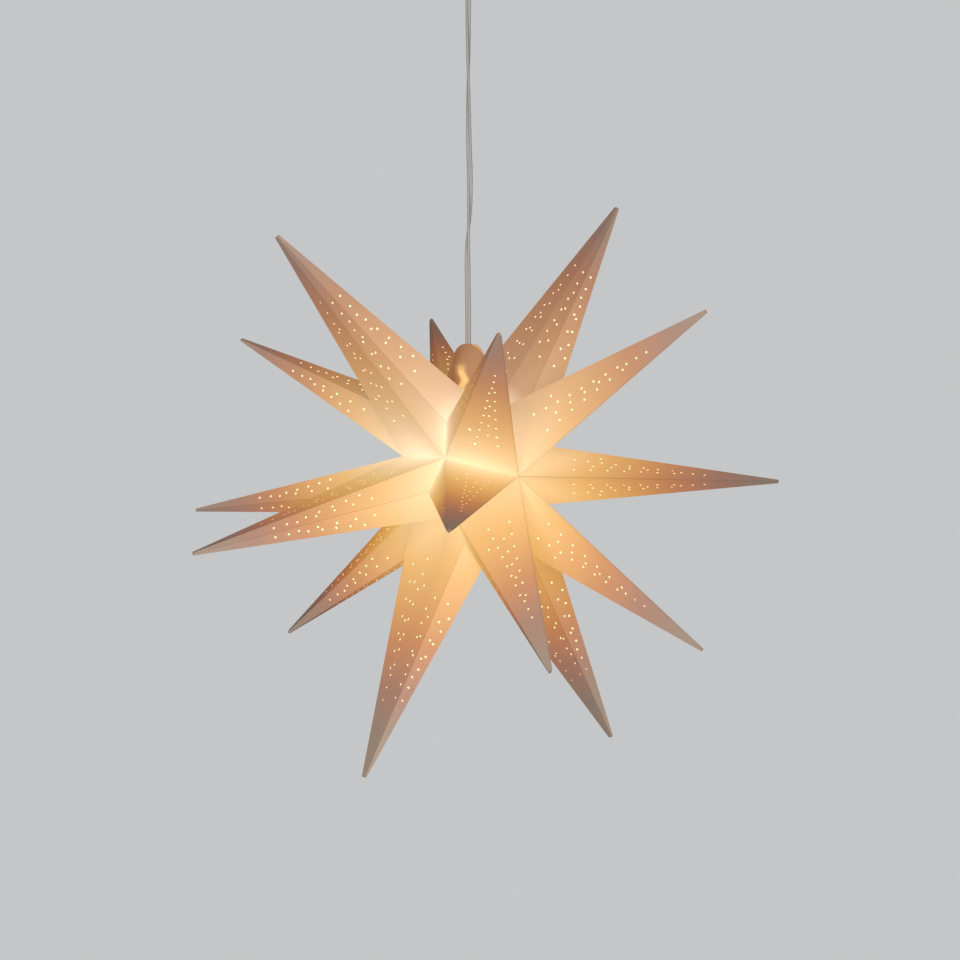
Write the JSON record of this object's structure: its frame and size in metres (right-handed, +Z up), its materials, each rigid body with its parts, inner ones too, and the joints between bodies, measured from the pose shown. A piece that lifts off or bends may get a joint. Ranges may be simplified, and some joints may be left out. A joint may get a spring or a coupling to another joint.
{
  "type": "moravian star pendant",
  "caption": "Fold-flat perforated paper star lantern hanging on a flat white flex, with lamp holder, bulb and ceiling cup inside and above.",
  "frame": {"origin": "middle of the ceiling bracket's top face, where it meets the ceiling", "axes": "+Z up; the front pole of the star looks along -Y; the closing seam of the star is straight under the cord"},
  "size_m": [0.6097, 0.4905, 0.8262],
  "materials": {
    "white_card": "uncoated white card, slightly translucent",
    "snap_metal": "nickel-plated pressed metal",
    "holder_plastic": "white moulded thermoplastic",
    "insert_plastic": "cream moulded insulator",
    "contact_brass": "pressed brass",
    "nylon": "natural nylon",
    "zinc_steel": "zinc-plated steel",
    "core_insulation": "coloured core insulation",
    "bulb_glass": "clear glass",
    "bulb_cap_metal": "rolled aluminium thread",
    "cap_insulator": "black glass insulator",
    "solder": "dull solder",
    "filament_phosphor": "yellow phosphor coating",
    "lead_wire": "nickel wire",
    "cord_sheath": "white PVC flex",
    "cup_plastic": "white moulded cup"
  },
  "bodies": {
    "ceiling": {"ceiling_bracket": "zinc_steel", "cord_anchor": "nylon", "anchor_screws": "zinc_steel", "terminal_block": "nylon", "terminal_sleeves": "contact_brass", "terminal_block_screws": "zinc_steel", "ceiling_wires": "core_insulation", "cord": "cord_sheath"},
    "cup": {"ceiling_cup": "cup_plastic"},
    "cup_screw": {"cup_grip_screw": "nylon"},
    "cord_tail": {"cord_end": "cord_sheath"},
    "lamp": {"holder_cap": "holder_plastic", "holder_shell": "holder_plastic", "holder_insert": "insert_plastic", "holder_screw_sleeve": "contact_brass", "holder_centre_contact": "contact_brass", "holder_terminal_screws": "contact_brass", "holder_cord_grip": "nylon", "holder_grip_screw": "zinc_steel", "holder_wires": "core_insulation", "stud_sockets": "snap_metal", "star_page_07": "white_card", "star_page_08": "white_card", "star_page_09": "white_card", "star_page_10": "white_card", "star_page_11": "white_card", "star_page_12": "white_card"},
    "star_opening_half": {"star_page_01": "white_card", "star_page_02": "white_card", "star_page_03": "white_card", "star_page_04": "white_card", "star_page_05": "white_card", "star_page_06": "white_card", "stud_posts": "snap_metal"},
    "bulb_tip": {"bulb_tip_contact": "solder"},
    "bulb": {"bulb_glass": "bulb_glass", "bulb_cap": "bulb_cap_metal", "bulb_cap_insulator": "cap_insulator", "bulb_stem": "bulb_glass", "bulb_filaments": "filament_phosphor", "bulb_leads": "lead_wire"}
  },
  "joints": [
    {"name": "cup_slide", "type": "slide", "parent": "ceiling", "child": "cup", "axis": [0, 0, -1], "range_m": [0, 0.1]},
    {"name": "cup_screw_turn", "type": "hinge", "parent": "cup", "child": "cup_screw", "pos_m": [0.008, 0, -0.051], "axis": [1, 0, 0], "range_deg": [0, 720]},
    {"name": "lamp_swing", "type": "hinge", "parent": "ceiling", "child": "cord_tail", "pos_m": [0, 0, -0.415], "axis": [1, 0, 0], "range_deg": [-10, 10]},
    {"name": "lamp_turn", "type": "hinge", "parent": "cord_tail", "child": "lamp", "pos_m": [0, 0, -0.415], "axis": [0, 0, 1], "range_deg": [-180, 180]},
    {"name": "star_open", "type": "hinge", "parent": "lamp", "child": "star_opening_half", "pos_m": [0.0121, 0.00176, -0.59909], "axis": [0, -0.9996, -0.0297], "range_deg": [0, 25]},
    {"name": "bulb_travel", "type": "slide", "parent": "lamp", "child": "bulb_tip", "axis": [0, 0, -1], "range_m": [0, 0.0141]},
    {"name": "bulb_turn", "type": "hinge", "parent": "bulb_tip", "child": "bulb", "pos_m": [0, 0, -0.5], "axis": [0, 0, -1], "range_deg": [0, 1801]}
  ],
  "couplings": [
    {"joint": "bulb_turn", "follows": "bulb_travel", "rad_per_m": 2228.1}
  ]
}
